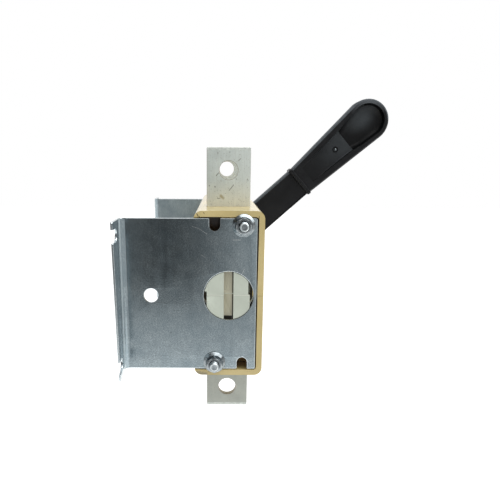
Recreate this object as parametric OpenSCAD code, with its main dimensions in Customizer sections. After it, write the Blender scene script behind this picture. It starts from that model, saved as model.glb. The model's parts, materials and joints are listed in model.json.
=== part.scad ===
// Three-pole knife switch disconnector with a side handle, for a flat wall or panel.
// X runs along the rotor axis, the front faces -Y, +Z is up, and the handle is on the +X side.
// The origin is the centre of the left mounting flange, on its back face.

/* [Layout] */
// Distance between the centre planes of neighbouring poles
pole_pitch = 70; // [66:0.5:84]
// Distance from an outer pole's centre plane to the inner face of its cheek
end_space = 47.3; // [44:0.1:60]
// Distance from the mounting plane to the rotor axis
axis_depth = 93.5; // [88:0.5:120]

/* [Housing] */
// Height of the closed housing
housing_h = 146.2; // [142:0.2:156]
// Front to back depth of the housing
housing_depth = 60; // [58:0.5:72]
// Thickness of the housing's outer walls
housing_wall = 5.1; // [4:0.1:6]
// Radius of the housing's long outer corners
housing_corner_r = 7; // [4:0.5:10]
// Radius of the housing's long inner corners
inner_corner_r = 2.3; // [1:0.1:5]
// Thickness of the barriers between the poles and of the end walls
barrier_t = 5; // [3:0.5:7]
// Distance from a cheek's inner face to the end wall behind it
end_recess = 18; // [12:0.5:20]
// Gap between the upper and the lower half of the housing
split_gap = 0.2; // [0.1:0.05:0.5]
// Width of the window in front of and behind each pole
window_w = 44; // [38:0.5:50]
// Distance from the top and bottom of the housing to the windows
window_margin = 21.1; // [18:0.1:26]
// Radius of the windows' corners
window_corner_r = 6; // [3:0.5:10]

/* [Cheeks] */
// Thickness of the cheek sheet
cheek_t = 2; // [1.5:0.1:3]
// Gap between the edge of a cheek and the housing walls round it
cheek_gap = 1; // [0.6:0.1:2]
// Width of the mounting flange, from the cheek's inner face
flange_w = 33.5; // [30:0.5:42]
// Inner radius of the bend between cheek and flange
bend_r = 5; // [3:0.5:7]
// Radius of the cheek's free corners
cheek_corner_r = 2.5; // [1:0.5:5]
// Diameter of the round window in which the rotor's journal turns
cheek_window_d = 43; // [42:0.1:46]
// Diameter of the earthing bolt hole beside the housing
earth_hole_d = 12.2; // [6:0.1:14]
// Distance from the rotor axis back to the earthing bolt hole
earth_hole_back = 67; // [58:0.5:74]
// Width of the open mounting slots in the flange
slot_w = 10.5; // [7:0.1:12]
// Depth of the mounting slots, from the flange's outer edge
slot_depth = 17; // [14:0.5:22]
// Distance from the ends of the flange to the mounting slots' centre lines
slot_inset = 12; // [10:0.5:20]
// Width of the open notches beside the studs
notch_w = 9; // [8:0.1:10]

/* [Studs] */
// Diameter of the housing studs
stud_d = 8; // [6:1:8]
// Distance of the studs in front of and behind the rotor axis
stud_y = 12.2; // [11:0.1:14]
// Distance from the inside of the housing's top and bottom to the studs
stud_inset = 7.1; // [6.5:0.1:9]
// Length of stud that stands out of the cheek
stud_reach = 13.5; // [11:0.5:20]
// Width across the flats of the flange nuts
nut_af = 13; // [10:0.5:14]
// Height of the flange nuts
nut_h = 8; // [6:0.5:10]
// Diameter of the nuts' flange
nut_flange_d = 19.4; // [16:0.2:20]
// Thickness of the nuts' flange at its rim
nut_flange_t = 1.6; // [1:0.1:2.5]
// Diameter of the moulded bosses that hold the studs
boss_d = 14; // [12:0.5:14]

/* [Terminal bars] */
// Width of the flat terminal bars
bar_w = 40; // [35:0.5:42]
// Thickness of the terminal bars
bar_t = 6; // [4:0.5:8]
// Length of bar that stands out of the housing
bar_out = 52.9; // [44:0.1:66]
// Gap between the rotor and the inner end of a bar
bar_rotor_gap = 4; // [1.5:0.5:7]
// Diameter of the cable lug hole
lug_hole_d = 17; // [10:0.5:18]
// Distance from the bar's outer end to the centre of the lug hole
lug_hole_edge = 20.4; // [15:0.2:24]
// Radius of the bars' outer corners
bar_corner_r = 1.2; // [0.6:0.2:4]
// Gap round a bar in its slot in the housing
bar_slot_gap = 0.3; // [0.2:0.1:0.6]
// Diameter of the two bolts that hold each bar to its rib
bar_bolt_d = 6; // [4:1:6]
// Width across the flats of those bolts' heads and nuts
bar_bolt_af = 10; // [7:0.5:10]
// Height of the bar bolts' heads
bar_bolt_head_h = 4; // [2.5:0.1:4.5]
// Height of the bar bolts' nuts
bar_bolt_nut_h = 5; // [3:0.1:5.5]
// Distance between the two bolts of a bar
bar_bolt_pitch = 22; // [18:0.5:26]
// Thickness of the moulded rib that carries a bar
rib_t = 6; // [4:0.5:8]
// Depth of that rib below the housing's end wall
rib_h = 14; // [13:0.5:15]

/* [Rotor and knives] */
// Diameter of the rotor between the cheeks
rotor_d = 46; // [45:0.5:48]
// Width of the rotor across its two moulded flats
rotor_flats = 37.8; // [37:0.2:40]
// Radial gap between the rotor's journal and the cheek window
journal_gap = 0.4; // [0.3:0.05:0.8]
// End play of the rotor between the cheeks
end_play = 0.5; // [0.3:0.1:1]
// Radial gap between the rotor and the barriers
barrier_gap = 0.6; // [0.4:0.1:1.2]
// Width of the groove across each rotor end, for the handle
groove_w = 8.3; // [6:0.1:10]
// Depth of that groove
groove_depth = 6.5; // [5:0.5:9]
// How far the tips of the knife blades lap over the fixed bars
knife_lap = 18; // [16:0.5:19]
// Width of the knife blades
knife_w = 28; // [24:0.5:28]
// Thickness of one knife blade
knife_t = 4; // [3:0.5:5]
// Radius of the blade tips' corners
knife_corner_r = 5; // [2:0.5:8]
// Gap between a blade and the fixed bar
knife_gap = 0.25; // [0.15:0.05:0.4]
// Gap round the blades in the rotor's slot
knife_slot_gap = 0.2; // [0.15:0.05:0.4]
// Length of the spacer block between the blades
spacer_l = 32; // [26:1:36]
// Diameter of the two rivets through blades and spacer
rivet_d = 6; // [4:0.5:7]
// Diameter of the rivets' flat heads
rivet_head_d = 9.6; // [8:0.2:11]
// Thickness of the rivets' flat heads
rivet_head_t = 1.2; // [0.8:0.1:1.4]
// Thickness of the leaf springs
spring_t = 1; // [0.8:0.1:1.4]
// Width of the leaf springs
spring_w = 18; // [12:0.5:24]
// Length of the leaf springs, tip to tip
spring_l = 70; // [60:1:76]
// Room for a spring between the blade and the side of the rotor's slot
spring_room = 2.75; // [2.6:0.05:3.5]

/* [Handle] */
// Angle of the handle above the horizontal when the switch is on
handle_angle = 41.8; // [30:0.2:50]
// Distance from the cheek's outer face to the near face of the arm
handle_offset = 27; // [24:0.5:40]
// Thickness of the arm
arm_t = 20; // [14:0.5:24]
// Width of the arm
arm_w = 39; // [32:0.5:42]
// Distance from the rotor axis to the collar
collar_r = 132.5; // [110:0.5:160]
// Thickness of the collar
collar_t = 3; // [2:0.5:5]
// How far the collar stands out round the arm
collar_lip = 2; // [1:0.5:4]
// Thickness of the grip
grip_t = 24; // [20:0.5:28]
// Length of the grip, from the collar to its tip
grip_l = 141; // [120:0.5:170]
// Radius of the grip's round tip
grip_tip_r = 27; // [22:0.5:30]
// How far the tip's centre lies above the arm's centre line
grip_tip_rise = 1.8; // [0:0.2:5]
// Width of the rim round the hollow underside of the grip, at its tip
tip_rim = 6.2; // [4:0.2:9]
// Width of that rim where it starts, at the collar
side_rim = 9.4; // [6:0.2:12]
// Distance from the collar to the start of the recess beside it
recess_from_collar = 12; // [6:0.5:20]
// Depth of the hollow under the palm
palm_depth = 11; // [6:0.5:14]
// Length of the hollow under the palm
palm_l = 63; // [50:0.5:80]
// Depth of the flat recess beside the collar
plateau_depth = 3; // [1:0.2:5]
// Diameter of the drive hub between rotor and arm
hub_d = 40; // [34:0.5:42]
// Gap between the handle's drive tongue and the rotor's groove
tongue_gap = 0.15; // [0.1:0.05:0.3]
// Distance from the grip's inner end to the fixing screw
screw_from_collar = 59.5; // [50:0.5:68]
// Diameter of the fixing screw's head
screw_head_d = 8; // [6:0.5:10]
// Height of the fixing screw's head
screw_head_h = 2; // [1:0.1:2.5]

/* [Hidden] */
POLE_NAMES = ["a", "b", "c"];
$fn = 64;

// A cut reaches this far past the face that it opens.
cut = 1;

// Half widths, from the middle plane of the switch.
half_gap = pole_pitch + end_space;            // to a cheek's inner face
half_len = half_gap + cheek_t;                // to its outer face
end_wall_x = half_gap - end_recess;           // to the outer face of the housing's end wall
bend_outer = bend_r + cheek_t;

// The flange's flat back starts where the bend ends; the origin is the middle of that flat.
flange_centre = half_gap + (bend_outer + flange_w) / 2;

// Inside of the housing, and the cheek that fits in it.
inside_h = housing_h - 2 * housing_wall;
inside_depth = housing_depth - 2 * housing_wall;
cheek_h = inside_h - 2 * cheek_gap;
cheek_front = inside_depth / 2 - cheek_gap;
window_h = housing_h - 2 * window_margin;
slot_z = cheek_h / 2 - slot_inset;

// Studs: tapped into their bosses as far as the end wall, with this gap round them.
stud_z = inside_h / 2 - stud_inset;
stud_grip = end_recess;
stud_gap = 0.15;
notch_reach = cheek_h / 2 - stud_z + cut;

// Terminal bars and the ribs that carry them, heights above the rotor axis.
bar_reach = housing_h / 2 + bar_out;
bar_inner = rotor_d / 2 + bar_rotor_gap;
bar_bolt_z = inside_h / 2 - rib_h / 2;
bar_bolt_gap = 0.2;

// Rotor, and the stack of bar, blades and springs on it.
journal_d = cheek_window_d - 2 * journal_gap;
journal_from = half_gap - end_play;
knife_l = 2 * (bar_inner + knife_lap);
blade_in = bar_t / 2 + knife_gap;
blade_out = blade_in + knife_t;
rotor_slot_half = blade_out + spring_room;
rivet_pitch = spacer_l / 2;
rivet_gap = 0.1;
spring_gap = 0.1;
spring_bend = rotor_d / 2;

// Handle.
arm_x = half_len + handle_offset;
grip_from = collar_r + collar_t;
grip_x = arm_x + arm_t / 2 - grip_t / 2;
grip_tip_at = grip_from + grip_l - grip_tip_r;
palm_from = grip_from + grip_l - palm_l;
hub_from = half_len + end_play;
screw_at = grip_from + screw_from_collar;

module at_axis() translate([flange_centre, -axis_depth, 0]) children();
// A flat outline in the Y-Z plane, given thickness along +X.
module along_x(length) rotate([90, 0, 90]) linear_extrude(height = length) children();
module bore_x(d, length) rotate([0, 90, 0]) cylinder(d = d, h = length);
module mirror_left() mirror([1, 0, 0]) children();
module half_turn() rotate([180, 0, 0]) children();

// A rectangle with four round corners, centred.
module rounded_rect(w, h, r) {
    square([w - 2 * r, h], center = true);
    square([w, h - 2 * r], center = true);
    for (sx = [-1, 1], sy = [-1, 1])
        translate([sx * (w / 2 - r), sy * (h / 2 - r)]) circle(r);
}

// A rectangle from x = 0 to x = length, round at its two far corners.
module tongue_rect(length, h, r) {
    translate([0, -h / 2]) square([length - r, h]);
    translate([0, r - h / 2]) square([length, h - 2 * r]);
    for (sy = [-1, 1]) translate([length - r, sy * (h / 2 - r)]) circle(r);
}

// ---- Cheeks: bent zinc-plated sheet, the right one the mirror of the left ----

module cheek_plate_cuts() {
    translate([-cut, 0, 0]) {
        bore_x(cheek_window_d, cheek_t + 2 * cut);
        translate([0, earth_hole_back, 0]) bore_x(earth_hole_d, cheek_t + 2 * cut);
        for (s = [-1, 1]) {
            translate([0, -s * stud_y, s * stud_z]) bore_x(stud_d + 2 * stud_gap, cheek_t + 2 * cut);
            translate([0, s * stud_y, s * stud_z]) {
                bore_x(notch_w, cheek_t + 2 * cut);
                translate([0, -notch_w / 2, s > 0 ? 0 : -notch_reach])
                    cube([cheek_t + 2 * cut, notch_w, notch_reach]);
            }
        }
    }
}

module flange_slots() {
    for (s = [-1, 1]) translate([flange_w - slot_depth + slot_w / 2, 0, s * slot_z]) {
        rotate([90, 0, 0]) cylinder(d = slot_w, h = 4 * cheek_t, center = true);
        translate([0, -2 * cheek_t, -slot_w / 2]) cube([slot_depth, 4 * cheek_t, slot_w]);
    }
}

// Built about the rotor axis, with its inner face at x = 0 and the flange towards +X.
module cheek() {
    color("#8f9ba1") {
        difference() {
            along_x(cheek_t) mirror([1, 0]) union() {
                tongue_rect(cheek_front, cheek_h, cheek_corner_r);
                translate([bend_outer - axis_depth, -cheek_h / 2])
                    square([axis_depth - bend_outer, cheek_h]);
            }
            cheek_plate_cuts();
        }
        translate([bend_outer, axis_depth - bend_outer, -cheek_h / 2])
            linear_extrude(height = cheek_h) intersection() {
                difference() {
                    circle(bend_outer);
                    circle(bend_r);
                }
                translate([-bend_outer, 0]) square(bend_outer);
            }
        difference() {
            translate([bend_outer, axis_depth, 0]) rotate([90, 0, 0])
                linear_extrude(height = cheek_t) tongue_rect(flange_w - bend_outer, cheek_h, cheek_corner_r);
            translate([0, axis_depth, 0]) flange_slots();
        }
    }
}

module left_cheek() at_axis() mirror_left() translate([half_gap, 0, 0]) cheek();
module right_cheek() at_axis() translate([half_gap, 0, 0]) cheek();

// ---- Housing: two like mouldings, the lower one turned half way round the rotor axis ----

module housing_walls() {
    translate([-half_len, 0, 0]) along_x(2 * half_len) difference() {
        rounded_rect(housing_depth, housing_h, housing_corner_r);
        rounded_rect(inside_depth, inside_h, inner_corner_r);
    }
}

module barrier(from) {
    translate([from, 0, 0]) along_x(barrier_t) difference() {
        square([inside_depth + housing_wall, inside_h + housing_wall], center = true);
        circle(d = rotor_d + 2 * barrier_gap);
    }
}

// A rib beside each bar, with the bar's two bolts through it.
module bar_rib() {
    difference() {
        translate([bar_t / 2, -inside_depth / 2 - housing_wall / 2, inside_h / 2 - rib_h])
            cube([rib_t, inside_depth + housing_wall, rib_h + housing_wall / 2]);
        for (s = [-1, 1]) translate([0, s * bar_bolt_pitch / 2, bar_bolt_z])
            bore_x(bar_bolt_d + 2 * bar_bolt_gap, bar_t / 2 + rib_t + cut);
    }
}

module bar_slot() {
    w = bar_w + 2 * bar_slot_gap;
    t = bar_t + 2 * bar_slot_gap;
    translate([-t / 2, -w / 2, inside_h / 2 - cut]) cube([t / 2 + bar_t / 2, w, housing_wall + 2 * cut]);
    translate([0, -w / 2, inside_h / 2]) cube([t / 2, w, housing_wall + cut]);
}

module pole_windows() {
    translate([0, housing_depth, 0]) rotate([90, 0, 0]) linear_extrude(height = 2 * housing_depth)
        rounded_rect(window_w, window_h, window_corner_r);
}

// One wall is open at its ends, where the cheeks pass through it to the rear.
module cheek_passage(side) {
    translate([half_gap - cheek_gap, side > 0 ? 0 : -housing_depth, -inside_h / 2])
        cube([cheek_t + cheek_gap + cut, housing_depth, inside_h]);
}

module stud_boss() {
    difference() {
        translate([end_wall_x - barrier_t / 2, -stud_y, stud_z])
            bore_x(boss_d, end_recess + barrier_t / 2);
        translate([half_gap - stud_grip, -stud_y, stud_z]) bore_x(stud_d + 2 * stud_gap, stud_grip + cut);
    }
}

// A lug between stud and notch, on which the cheek's edge rests.
module seat_lug() {
    lug_w = (stud_y - boss_d / 2) + (stud_y - notch_w / 2) - 2 * cut;
    translate([end_wall_x - barrier_t / 2, boss_d / 2 - stud_y + cut, stud_z - boss_d / 2])
        cube([end_recess + barrier_t / 2, lug_w, inside_h / 2 + housing_wall / 2 - stud_z + boss_d / 2]);
}

module housing_half(passage_side) {
    color("#d2c391") intersection() {
        translate([-2 * half_len, -2 * housing_depth, split_gap / 2])
            cube([4 * half_len, 4 * housing_depth, housing_h]);
        difference() {
            union() {
                housing_walls();
                for (s = [-1, 1]) barrier(s * pole_pitch / 2 - barrier_t / 2);
                barrier(end_wall_x - barrier_t);
                barrier(-end_wall_x);
                for (i = [-1 : 1]) translate([i * pole_pitch, 0, 0]) bar_rib();
                stud_boss();
                seat_lug();
                mirror_left() {
                    stud_boss();
                    seat_lug();
                }
            }
            for (i = [-1 : 1]) translate([i * pole_pitch, 0, 0]) {
                bar_slot();
                pole_windows();
            }
            cheek_passage(passage_side);
            mirror_left() cheek_passage(passage_side);
        }
    }
}

module upper_housing() at_axis() housing_half(1);
module lower_housing() at_axis() half_turn() housing_half(-1);

// ---- Terminal bars and their bolts ----

module terminal_bar(pole) {
    color("#b9bdb3") translate([(pole - 1) * pole_pitch - bar_t / 2, 0, 0]) difference() {
        along_x(bar_t) translate([0, bar_inner]) rotate(90)
            tongue_rect(bar_reach - bar_inner, bar_w, bar_corner_r);
        translate([-cut, 0, bar_reach - lug_hole_edge]) bore_x(lug_hole_d, bar_t + 2 * cut);
        for (s = [-1, 1]) translate([-cut, s * bar_bolt_pitch / 2, bar_bolt_z])
            bore_x(bar_bolt_d + 2 * bar_bolt_gap, bar_t + 2 * cut);
    }
}

module bar_bolt() {
    color("#c5cacc") {
        translate([-bar_t / 2 - bar_bolt_head_h, 0, 0])
            bore_x(bar_bolt_af / cos(30), bar_bolt_head_h, $fn = 6);
        translate([-bar_t / 2, 0, 0]) bore_x(bar_bolt_d, bar_t + rib_t + bar_bolt_nut_h);
        translate([bar_t / 2 + rib_t, 0, 0]) bore_x(bar_bolt_af / cos(30), bar_bolt_nut_h, $fn = 6);
    }
}

module bar_bolts() {
    for (i = [-1 : 1], s = [-1, 1])
        translate([i * pole_pitch, s * bar_bolt_pitch / 2, bar_bolt_z]) bar_bolt();
}

module upper_terminal(pole) at_axis() terminal_bar(pole);
module lower_terminal(pole) at_axis() half_turn() terminal_bar(pole);
module upper_bar_bolts() at_axis() bar_bolts();
module lower_bar_bolts() at_axis() half_turn() bar_bolts();

// ---- Studs and flange nuts: upper one in front of the rotor axis, lower one behind it ----

module stud() {
    color("#c9ced0") translate([half_gap - stud_grip, -stud_y, stud_z])
        bore_x(stud_d, stud_grip + cheek_t + stud_reach);
}

module flange_nut() {
    color("#c9ced0") translate([half_len, -stud_y, stud_z]) difference() {
        union() {
            bore_x(nut_flange_d, nut_flange_t);
            bore_x(nut_af / cos(30), nut_h, $fn = 6);
        }
        translate([-cut, 0, 0]) bore_x(stud_d + 2 * stud_gap, nut_h + 2 * cut);
    }
}

module left_top_stud() at_axis() mirror_left() stud();
module left_bottom_stud() at_axis() mirror_left() half_turn() stud();
module right_top_stud() at_axis() stud();
module right_bottom_stud() at_axis() half_turn() stud();
module left_top_nut() at_axis() mirror_left() flange_nut();
module left_bottom_nut() at_axis() mirror_left() half_turn() flange_nut();
module right_top_nut() at_axis() flange_nut();
module right_bottom_nut() at_axis() half_turn() flange_nut();

// ---- Rotor: one moulded shaft, upright knives when the switch is on ----

module rotor_section(d) {
    intersection() {
        circle(d = d);
        square([rotor_flats, d], center = true);
    }
}

module rotor() at_axis() color("#c9cbbd") difference() {
    union() {
        translate([-journal_from, 0, 0]) along_x(2 * journal_from) rotor_section(rotor_d);
        translate([-half_len, 0, 0]) along_x(2 * half_len) rotor_section(journal_d);
    }
    for (x = [-half_len - cut, half_len - groove_depth])
        translate([x, -groove_w / 2, -rotor_d / 2]) cube([groove_depth + cut, groove_w, rotor_d]);
    for (i = [-1 : 1]) translate([i * pole_pitch - rotor_slot_half, -knife_w / 2 - knife_slot_gap, -rotor_d / 2])
        cube([2 * rotor_slot_half, knife_w + 2 * knife_slot_gap, rotor_d]);
}

module at_pole(pole) at_axis() translate([(pole - 1) * pole_pitch, 0, 0]) children();

module blade() {
    color("#b5764a") translate([blade_in, 0, 0]) difference() {
        along_x(knife_t) rounded_rect(knife_w, knife_l, knife_corner_r);
        for (s = [-1, 1]) translate([-cut, 0, s * rivet_pitch / 2])
            bore_x(rivet_d + 2 * rivet_gap, knife_t + 2 * cut);
    }
}

module left_knife(pole) at_pole(pole) mirror_left() blade();
module right_knife(pole) at_pole(pole) blade();

// The block that holds the blades apart, in one with its two rivets.
module knife_spacer(pole) at_pole(pole) color("#c7b27a") {
    translate([-blade_in, -knife_w / 2, -spacer_l / 2]) cube([2 * blade_in, knife_w, spacer_l]);
    for (s = [-1, 1]) translate([0, 0, s * rivet_pitch / 2]) {
        translate([-blade_out - rivet_head_t, 0, 0]) bore_x(rivet_d, 2 * (blade_out + rivet_head_t));
        for (x = [-blade_out - rivet_head_t, blade_out])
            translate([x, 0, 0]) bore_x(rivet_head_d, rivet_head_t);
    }
}

// A leaf spring lies against the side of the rotor's slot and presses on the blade with its two tips.
module leaf_spring() {
    back = rotor_slot_half - spring_gap;
    tip = blade_out + spring_gap;
    rotate([90, 0, 0]) linear_extrude(height = spring_w, center = true) polygon([
        [tip, -spring_l / 2], [tip + spring_t, -spring_l / 2],
        [back, -spring_bend], [back, spring_bend],
        [tip + spring_t, spring_l / 2], [tip, spring_l / 2],
        [back - spring_t, spring_bend], [back - spring_t, -spring_bend]]);
}

module contact_springs(pole) at_pole(pole) color("#6d7276") {
    leaf_spring();
    mirror_left() leaf_spring();
}

// ---- Handle: pushed into the rotor's groove on the right side ----

// Outlines are drawn with the handle pointing along +X of the sketch, then laid along its own angle.
module handle_sketch(from, length) {
    at_axis() rotate([-handle_angle, 0, 0]) translate([from, 0, 0]) along_x(length) mirror([1, 0]) children();
}

module handle_hub() at_axis() color("#26292b") {
    translate([hub_from, 0, 0]) bore_x(hub_d, arm_x - hub_from);
    intersection() {
        translate([half_len - groove_depth + end_play, 0, 0]) bore_x(journal_d, groove_depth);
        translate([half_len - groove_depth, tongue_gap - groove_w / 2, -journal_d / 2])
            cube([groove_depth + 2 * end_play, groove_w - 2 * tongue_gap, journal_d]);
    }
}

module handle_arm() color("#232628") handle_sketch(arm_x, arm_t) {
    circle(d = arm_w);
    translate([0, -arm_w / 2]) square([collar_r, arm_w]);
}

// The grip's outline, drawn in from its edge by a rim at the tip and one at the collar.
module grip_outline(rim_at_tip, rim_at_collar) {
    r = grip_tip_r - rim_at_tip;
    h = arm_w / 2 - rim_at_collar;
    translate([grip_tip_at, grip_tip_rise]) circle(r);
    polygon([[collar_r + collar_t / 2, -h], [grip_tip_at, grip_tip_rise - r],
             [grip_tip_at, grip_tip_rise + r], [collar_r + collar_t / 2, h]]);
}

module handle_grip() color("#1f2224") difference() {
    union() {
        handle_sketch(grip_x, grip_t) grip_outline(0, 0);
        handle_sketch(grip_x - collar_lip, grip_t + 2 * collar_lip)
            translate([collar_r, -arm_w / 2 - collar_lip]) square([collar_t, arm_w + 2 * collar_lip]);
    }
    handle_sketch(grip_x - cut, plateau_depth + cut) intersection() {
        grip_outline(tip_rim, side_rim);
        translate([grip_from + recess_from_collar, -arm_w]) square([grip_l, 2 * arm_w]);
    }
    handle_sketch(grip_x - cut, palm_depth + cut) intersection() {
        grip_outline(tip_rim, side_rim);
        translate([palm_from, -arm_w]) square([palm_l, 2 * arm_w]);
    }
}

module handle_screw() color("#2c3032") {
    handle_sketch(grip_x + plateau_depth - screw_head_h, screw_head_h)
        translate([screw_at, grip_tip_rise / 2]) circle(d = screw_head_d);
}

// ---- Assembly ----

left_cheek();
right_cheek();
upper_housing();
lower_housing();
upper_bar_bolts();
lower_bar_bolts();
left_top_stud();
left_bottom_stud();
right_top_stud();
right_bottom_stud();
left_top_nut();
left_bottom_nut();
right_top_nut();
right_bottom_nut();
rotor();
handle_hub();
handle_arm();
handle_grip();
handle_screw();
for (p = [0 : 2]) {
    upper_terminal(p);
    lower_terminal(p);
    left_knife(p);
    right_knife(p);
    knife_spacer(p);
    contact_springs(p);
}
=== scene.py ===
import json
import math

import bmesh
import bpy
from mathutils import Matrix, Vector
from mathutils.geometry import tessellate_polygon


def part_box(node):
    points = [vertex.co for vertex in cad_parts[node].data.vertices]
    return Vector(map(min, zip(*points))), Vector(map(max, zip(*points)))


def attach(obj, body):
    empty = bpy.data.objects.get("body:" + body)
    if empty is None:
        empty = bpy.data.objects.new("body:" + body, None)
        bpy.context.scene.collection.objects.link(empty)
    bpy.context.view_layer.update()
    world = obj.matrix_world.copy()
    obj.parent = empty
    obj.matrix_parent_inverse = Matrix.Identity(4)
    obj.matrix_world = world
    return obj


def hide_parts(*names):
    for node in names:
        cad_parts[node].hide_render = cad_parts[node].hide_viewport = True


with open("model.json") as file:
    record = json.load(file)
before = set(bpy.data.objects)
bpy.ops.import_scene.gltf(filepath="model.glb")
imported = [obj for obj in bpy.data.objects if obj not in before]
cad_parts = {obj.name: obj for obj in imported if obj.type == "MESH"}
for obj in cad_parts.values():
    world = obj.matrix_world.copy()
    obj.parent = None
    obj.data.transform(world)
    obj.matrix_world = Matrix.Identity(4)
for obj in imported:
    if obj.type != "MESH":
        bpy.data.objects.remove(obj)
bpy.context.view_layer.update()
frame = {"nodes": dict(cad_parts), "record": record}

# ---- Cheeks ----
# Two plates of 2 mm cold-rolled steel, punched flat, bent once and then zinc plated with a blue
# passivation. Their flanges stand on the wall, and their fronts slide into the housing's open ends.

MM = 0.001


def corners(node):
    """The lowest and the highest corner of a CAD node, in millimetres."""
    low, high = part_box(node)
    return low / MM, high / MM


def mount_at(name):
    """A mount's place in millimetres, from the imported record."""
    for mount in frame["record"]["mounts"]:
        if mount["name"] == name:
            return Vector(mount["pos_m"]) / MM


rotor_low, rotor_high = corners("rotor")
AXIS = (rotor_low + rotor_high) / 2
HALF_LEN = (rotor_high.x - rotor_low.x) / 2
cheek_low, cheek_high = corners("left_cheek")
stud_low, stud_high = corners("left_top_stud")
STUD = (stud_low + stud_high) / 2 - AXIS
SHEET_T = 2.0
BEND_R = 6.0
WINDOW_D = 43.0
STUD_HOLE_D = 8.3
EARTH_HOLE_D = 12.2
NOTCH_W = 9.0
SLOT_W = 10.5
SLOT_DEPTH = 17.0
SHEET_RIM = 0.55
SPRUNG = 0.05
SPRUNG_TWIST = 0.0005


def rounded(points):
    """A closed outline from its corners, each (x, y, radius), run anticlockwise."""
    outline = []
    for i, (x, y, radius) in enumerate(points):
        corner = Vector((x, y))
        back = (Vector(points[i - 1][:2]) - corner).normalized()
        ahead = (Vector(points[(i + 1) % len(points)][:2]) - corner).normalized()
        if radius == 0:
            outline.append(corner)
            continue
        half = back.angle(ahead) / 2
        centre = corner + (back + ahead).normalized() * radius / math.sin(half)
        start = corner + back * radius / math.tan(half) - centre
        turn = math.pi - 2 * half
        side = 1 if back.cross(ahead) < 0 else -1
        steps = max(3, round(turn * math.sqrt(radius) * 3))
        for k in range(steps + 1):
            a = side * turn * k / steps
            spoke = Matrix.Rotation(a, 2) @ start
            outline.append(centre + spoke)
    return outline


def circle(x, y, diameter, steps=64):
    """A round hole's outline, run clockwise."""
    r = diameter / 2
    angles = [-2 * math.pi * k / steps for k in range(steps)]
    return [Vector((x + r * math.cos(a), y + r * math.sin(a))) for a in angles]


def plate(outline, holes, thickness, rim):
    """A flat plate in its own x and y, centred on z = 0, with its cut edges rounded by rim."""
    made = bmesh.new()
    caps = {1: [], -1: []}
    for loop in [outline, *holes]:
        count = len(loop)
        inward = []
        for i, point in enumerate(loop):
            ahead = (loop[(i + 1) % count] - point).normalized()
            back = (point - loop[i - 1]).normalized()
            normal = Vector((-(ahead + back).y, (ahead + back).x)).normalized()
            inward.append(normal / max(0.5, normal.dot(Vector((-ahead.y, ahead.x)))))
        rings = []
        for side in (1, -1):
            for tilt in (0, 45, 90)[::side]:
                inset = rim * (1 - math.sin(math.radians(tilt)))
                lift = side * (thickness / 2 - rim * (1 - math.cos(math.radians(tilt))))
                rings.append([
                    made.verts.new((*(point + step * inset), lift))
                    for point, step in zip(loop, inward)
                ])
        caps[1].append(rings[0])
        caps[-1].append(rings[-1])
        for upper, lower in zip(rings, rings[1:]):
            for i in range(count):
                j = (i + 1) % count
                face = made.faces.new((upper[i], lower[i], lower[j], upper[j]))
                face.material_index = 1
    for side, loops in caps.items():
        flat = [vert for ring in loops for vert in ring]
        for a, b, c in tessellate_polygon([[vert.co for vert in ring] for ring in loops]):
            try:
                made.faces.new((flat[a], flat[b], flat[c]))
            except ValueError:
                pass
    bmesh.ops.recalc_face_normals(made, faces=made.faces)
    return made


def add_piece(name, made, body, materials, nodes=(), crease=38):
    """Turn a mesh drawn in millimetres into a smooth-shaded piece that rides on a body."""
    bmesh.ops.scale(made, verts=made.verts, vec=(MM, MM, MM))
    mesh = bpy.data.meshes.new(name)
    made.to_mesh(mesh)
    made.free()
    mesh.shade_smooth()
    mesh.set_sharp_from_angle(angle=math.radians(crease))
    piece = bpy.data.objects.new(name, mesh)
    bpy.context.scene.collection.objects.link(piece)
    weighted = piece.modifiers.new("even shading", "WEIGHTED_NORMAL")
    weighted.keep_sharp = True
    for material in materials:
        mesh.materials.append(material)
    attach(piece, body)
    if nodes:
        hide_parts(*nodes)
    return piece


def linear(colour):
    """A shader colour from an sRGB hex value."""
    parts = [int(colour[i:i + 2], 16) / 255 for i in (1, 3, 5)]
    return (*[p / 12.92 if p <= 0.04045 else ((p + 0.055) / 1.055) ** 2.4 for p in parts], 1.0)


def node(tree, kind, inputs=None, **settings):
    """Add a shader node: inputs maps a socket to its value, or to the node or socket that feeds it."""
    made = tree.nodes.new("ShaderNode" + kind)
    for key, value in settings.items():
        setattr(made, key, value)
    for socket, value in (inputs or {}).items():
        if isinstance(value, bpy.types.Node):
            value = value.outputs[0]
        if isinstance(value, bpy.types.NodeSocket):
            tree.links.new(value, made.inputs[socket])
        else:
            made.inputs[socket].default_value = value
    return made


def surface(name):
    """An empty material, with the piece's own coordinates in millimetres."""
    material = bpy.data.materials.new(name)
    material.use_nodes = True
    tree = material.node_tree
    tree.nodes.clear()
    place = node(tree, "TexCoord").outputs["Object"]
    return material, tree, node(tree, "VectorMath", {0: place, "Scale": 1 / MM}, operation="SCALE")


def finish_surface(tree, colour, roughness, reliefs=(), **constants):
    """Close a material: each relief is (strength, depth in mm, height), constants go on sockets."""
    inputs = {"Base Color": colour, "Roughness": roughness}
    inputs.update({key.replace("_", " "): value for key, value in constants.items()})
    for strength, depth, height in reliefs:
        before = {"Normal": inputs["Normal"]} if "Normal" in inputs else {}
        bump = {"Strength": strength, "Distance": depth * MM, "Height": height, **before}
        inputs["Normal"] = node(tree, "Bump", bump)
    node(tree, "OutputMaterial", {"Surface": node(tree, "BsdfPrincipled", inputs)})


def cloud(tree, place, size, detail=3.0, low=0.0, high=1.0):
    """Soft patches about size millimetres across, stretched to run from low to high."""
    noise = node(tree, "TexNoise", {"Vector": place, "Scale": 1 / size, "Detail": detail})
    spread = {0: noise, "From Min": 0.3, "From Max": 0.7, "To Min": low, "To Max": high}
    return node(tree, "MapRange", spread)


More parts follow.
